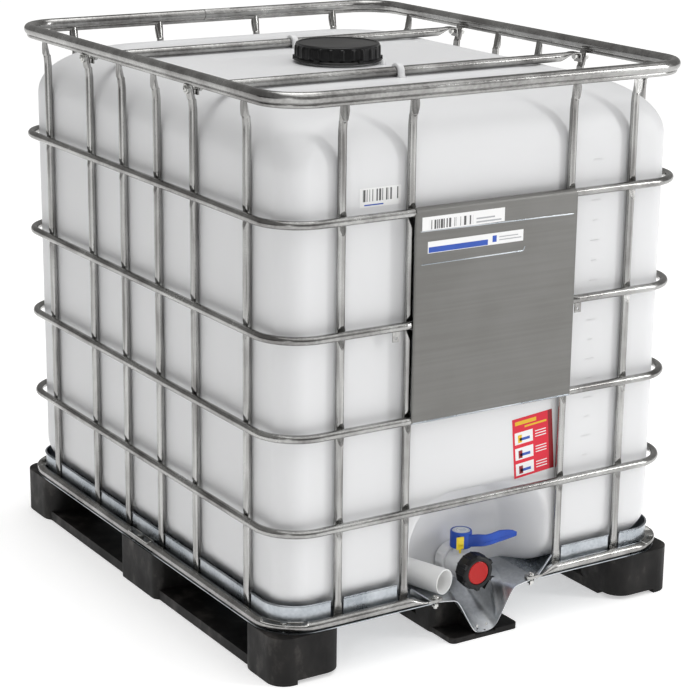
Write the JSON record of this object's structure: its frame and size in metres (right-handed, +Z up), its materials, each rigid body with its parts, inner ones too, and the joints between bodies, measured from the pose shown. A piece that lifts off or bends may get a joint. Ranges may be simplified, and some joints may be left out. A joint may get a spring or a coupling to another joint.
{
  "type": "intermediate bulk container",
  "caption": "Reusable liquid container: blow-moulded bottle in a steel tube cage on a fork-entry pallet, with a screwed filling lid and a lever-operated flap valve at the bottom of the front.",
  "frame": {"origin": "on the floor, under the middle of the pallet's 1000 by 1200 mm footprint", "axes": "+Z up; the outlet valve faces -Y; +X is to the right when facing the outlet; the 1200 mm side runs along Y"},
  "size_m": [1, 1.2002, 1.163],
  "materials": {
    "runner_black": "moulded recycled plastic, lightly mottled",
    "galvanised_tube": "galvanised, semi-bright",
    "galvanised_sheet": "galvanised sheet, bright at the pressed edges",
    "zinc_fastener": "zinc plated",
    "label_steel": "dull galvanised sheet",
    "printed_film": "printed adhesive film",
    "bottle_white": "natural polyethylene, milky and slightly translucent",
    "lid_black": "moulded black plastic",
    "gasket_rubber": "moulded rubber",
    "valve_white": "moulded white plastic",
    "lever_blue": "moulded blue plastic",
    "disc_grey": "printed light grey disc",
    "clip_yellow": "moulded yellow plastic",
    "disc_red": "moulded red plastic",
    "spout_white": "moulded white plastic"
  },
  "bodies": {
    "container": {"runner_left": "runner_black", "runner_middle": "runner_black", "runner_right": "runner_black", "floor_tray": "galvanised_sheet", "chute_plate": "galvanised_sheet", "chute_screws": "zinc_fastener", "foot_bolts": "zinc_fastener", "bottom_rail": "galvanised_tube", "top_rail": "galvanised_tube", "rail_sleeve": "galvanised_tube", "hoop_1": "galvanised_tube", "hoop_2": "galvanised_tube", "hoop_3": "galvanised_tube", "hoop_4": "galvanised_tube", "hoop_lugs": "galvanised_tube", "upright_front_1": "galvanised_tube", "upright_front_2": "galvanised_tube", "upright_front_3": "galvanised_tube", "upright_front_4": "galvanised_tube", "upright_rear_1": "galvanised_tube", "upright_rear_2": "galvanised_tube", "upright_rear_3": "galvanised_tube", "upright_rear_4": "galvanised_tube", "upright_left_1": "galvanised_tube", "upright_left_2": "galvanised_tube", "upright_left_3": "galvanised_tube", "upright_left_4": "galvanised_tube", "upright_left_5": "galvanised_tube", "upright_left_6": "galvanised_tube", "upright_right_1": "galvanised_tube", "upright_right_2": "galvanised_tube", "upright_right_3": "galvanised_tube", "upright_right_4": "galvanised_tube", "upright_right_5": "galvanised_tube", "upright_right_6": "galvanised_tube", "cross_bar_front": "galvanised_tube", "cross_bar_rear": "galvanised_tube", "cross_bar_bolts": "zinc_fastener", "cross_bar_nuts": "zinc_fastener", "label_plate": "label_steel", "plate_stickers": "printed_film", "bottle_stickers": "printed_film", "bottle": "bottle_white", "outlet_nut": "valve_white", "outlet_gasket": "gasket_rubber", "valve_body": "valve_white"},
    "lever_set": {"lever": "lever_blue", "lever_disc": "disc_grey", "valve_stem": "zinc_fastener", "valve_flap": "valve_white", "flap_seal": "gasket_rubber"},
    "clip": {"tamper_clip": "clip_yellow"},
    "cap_core": {"cap_disc": "disc_red", "cap_gasket": "gasket_rubber"},
    "cap_ring": {"outlet_cap": "lid_black"},
    "lid_core": {"lid_gasket": "gasket_rubber"},
    "lid_ring": {"lid": "lid_black"},
    "spout": {"spout_tube": "spout_white"}
  },
  "joints": [
    {"name": "lever_turn", "type": "hinge", "parent": "container", "child": "lever_set", "pos_m": [0, -0.504, 0.186], "axis": [0, 0, -1], "range_deg": [0, 90]},
    {"name": "clip_lift", "type": "slide", "parent": "lever_set", "child": "clip", "axis": [0, 0, 1], "range_m": [0, 0.04]},
    {"name": "cap_draw", "type": "slide", "parent": "container", "child": "cap_core", "axis": [0, -1, 0], "range_m": [0, 0.0181]},
    {"name": "cap_turn", "type": "hinge", "parent": "cap_core", "child": "cap_ring", "pos_m": [0, -0.555, 0.13], "axis": [0, -1, 0], "range_deg": [0, 1080]},
    {"name": "lid_lift", "type": "slide", "parent": "container", "child": "lid_core", "axis": [0, 0, 1], "range_m": [0, 0.0101]},
    {"name": "lid_turn", "type": "hinge", "parent": "lid_core", "child": "lid_ring", "pos_m": [0, 0, 1.14], "axis": [0, 0, 1], "range_deg": [0, 450]},
    {"name": "spout_draw", "type": "slide", "parent": "container", "child": "spout", "axis": [0.309, -0.9511, 0], "range_m": [0, 0.12]}
  ],
  "couplings": [
    {"joint": "cap_draw", "follows": "cap_turn", "m_per_rad": 0.00095493},
    {"joint": "lid_lift", "follows": "lid_turn", "m_per_rad": 0.0012732}
  ]
}
